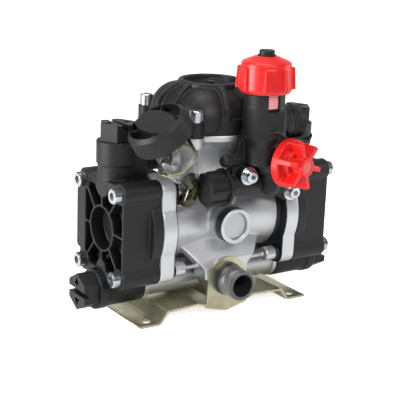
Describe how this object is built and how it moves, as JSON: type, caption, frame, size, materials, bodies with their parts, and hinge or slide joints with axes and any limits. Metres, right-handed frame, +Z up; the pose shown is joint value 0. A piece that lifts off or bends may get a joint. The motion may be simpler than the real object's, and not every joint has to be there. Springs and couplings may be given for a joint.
{
  "type": "diaphragm spray pump",
  "caption": "Twin diaphragm spray and wash pump with aluminium crankcase, black heads, air chamber, oil bottle and a pressure control unit.",
  "frame": {"origin": "centre of the four foot holes, on the face the bracket stands on", "axes": "+Z up, X along the two opposed diaphragms, -Y to the front where the control unit is, +Y along the drive shaft"},
  "size_m": [0.32, 0.2481, 0.295],
  "materials": {
    "cast": "sand-blasted die-cast aluminium, satin",
    "black": "black glass-filled nylon, fine texture",
    "pipe": "black plastic tube",
    "red": "red moulded plastic, semi-gloss",
    "insert": "pale pink plastic",
    "zinc": "bright zinc plate",
    "bracket": "steel sheet, yellow passivated zinc",
    "steel": "machined steel",
    "brass": "turned brass",
    "rubber": "black nitrile rubber",
    "poppets": "natural acetal",
    "bottle": "clear plastic with a warm tint"
  },
  "bodies": {
    "pump": {"crankcase": "cast", "head_left": "black", "head_right": "black", "head_screws": "zinc", "front_bearing_plug": "cast", "front_bearing_outer_race": "steel", "rear_bearing_outer_race": "steel", "rear_cover": "cast", "rear_cover_screws": "zinc", "oil_seal": "rubber", "cylinder_liners": "steel", "diaphragm_left": "rubber", "diaphragm_right": "rubber", "valve_seats": "steel", "valve_springs": "steel", "delivery_valve_plugs": "black", "suction_valve_plugs": "black", "plug_o_rings": "rubber", "delivery_pipes": "pipe", "suction_manifold": "cast", "suction_port": "cast", "base_bracket": "bracket", "bracket_screws": "zinc", "air_chamber_dome": "black", "air_chamber_membrane": "rubber", "charging_valve": "black", "dome_screws": "zinc", "oil_bottle": "bottle", "control_body": "black", "scale_strip": "insert", "regulator_spring": "steel", "tap_gland_nut": "brass", "blanking_cap": "black", "blanking_disc": "black", "control_screws": "zinc", "control_washers": "zinc"},
    "crank": {"crankshaft": "steel", "eccentric_bearing": "steel", "front_bearing_inner_race": "steel", "rear_bearing_inner_race": "steel"},
    "yoke": {"piston_yoke": "steel", "pistons": "black", "piston_rings": "steel", "diaphragm_clamp_discs": "steel", "diaphragm_screws": "zinc"},
    "delivery_valve_l": {"delivery_poppet_left": "poppets"},
    "delivery_valve_r": {"delivery_poppet_right": "poppets"},
    "suction_valve_l": {"suction_poppet_left": "poppets"},
    "suction_valve_r": {"suction_poppet_right": "poppets"},
    "relief": {"relief_poppet": "black"},
    "spring_seat": {"spring_cup": "cast"},
    "pressure_handle": {"pressure_knob": "red", "knob_button": "black"},
    "stem": {"tap_stem": "steel"},
    "tap_handle": {"tap_knob": "red", "tap_insert": "insert"},
    "cap_seal": {"oil_cap_gasket": "rubber"},
    "cap": {"oil_cap": "black"}
  },
  "joints": [
    {"name": "shaft_spin", "type": "hinge", "parent": "pump", "child": "crank", "pos_m": [0, 0, 0.102], "axis": [0, 1, 0], "continuous": true},
    {"name": "piston_stroke", "type": "slide", "parent": "pump", "child": "yoke", "axis": [1, 0, 0], "range_m": [-0.006, 0.006], "deforming": ["diaphragm_left", "diaphragm_right"]},
    {"name": "delivery_lift_left", "type": "slide", "parent": "pump", "child": "delivery_valve_l", "axis": [0, 0, 1], "range_m": [0, 0.0025], "stiffness_N_per_m": 100, "deforming": ["valve_springs"]},
    {"name": "delivery_lift_right", "type": "slide", "parent": "pump", "child": "delivery_valve_r", "axis": [0, 0, 1], "range_m": [0, 0.0025], "stiffness_N_per_m": 100},
    {"name": "suction_lift_left", "type": "slide", "parent": "pump", "child": "suction_valve_l", "axis": [-1, 0, 0], "range_m": [0, 0.0025], "stiffness_N_per_m": 100},
    {"name": "suction_lift_right", "type": "slide", "parent": "pump", "child": "suction_valve_r", "axis": [1, 0, 0], "range_m": [0, 0.0025], "stiffness_N_per_m": 100},
    {"name": "relief_lift", "type": "slide", "parent": "pump", "child": "relief", "axis": [0, 0, 1], "range_m": [0, 0.002], "stiffness_N_per_m": 400},
    {"name": "spring_seat_travel", "type": "slide", "parent": "pump", "child": "spring_seat", "axis": [0, 0, 1], "range_m": [-0.00501, 0], "deforming": ["regulator_spring"]},
    {"name": "pressure_turn", "type": "hinge", "parent": "spring_seat", "child": "pressure_handle", "pos_m": [0.012, -0.083, 0.25], "axis": [0, 0, 1], "range_deg": [-720, 0]},
    {"name": "tap_travel", "type": "slide", "parent": "pump", "child": "stem", "axis": [0.2079, -0.9781, 0], "range_m": [0, 0.00401]},
    {"name": "tap_turn", "type": "hinge", "parent": "stem", "child": "tap_handle", "pos_m": [0.0226, -0.083, 0.1804], "axis": [0.2079, -0.9781, 0], "range_deg": [0, 720]},
    {"name": "cap_travel", "type": "slide", "parent": "pump", "child": "cap_seal", "axis": [-0.5505, 0, 0.8348], "range_m": [0, 0.00601]},
    {"name": "cap_turn", "type": "hinge", "parent": "cap_seal", "child": "cap", "pos_m": [-0.052, -0.056, 0.1476], "axis": [-0.5505, 0, 0.8348], "range_deg": [0, 720]}
  ],
  "couplings": [
    {"joint": "spring_seat_travel", "follows": "pressure_turn", "m_per_rad": 0.00039789},
    {"joint": "tap_travel", "follows": "tap_turn", "m_per_rad": 0.00031831},
    {"joint": "cap_travel", "follows": "cap_turn", "m_per_rad": 0.00047746}
  ]
}
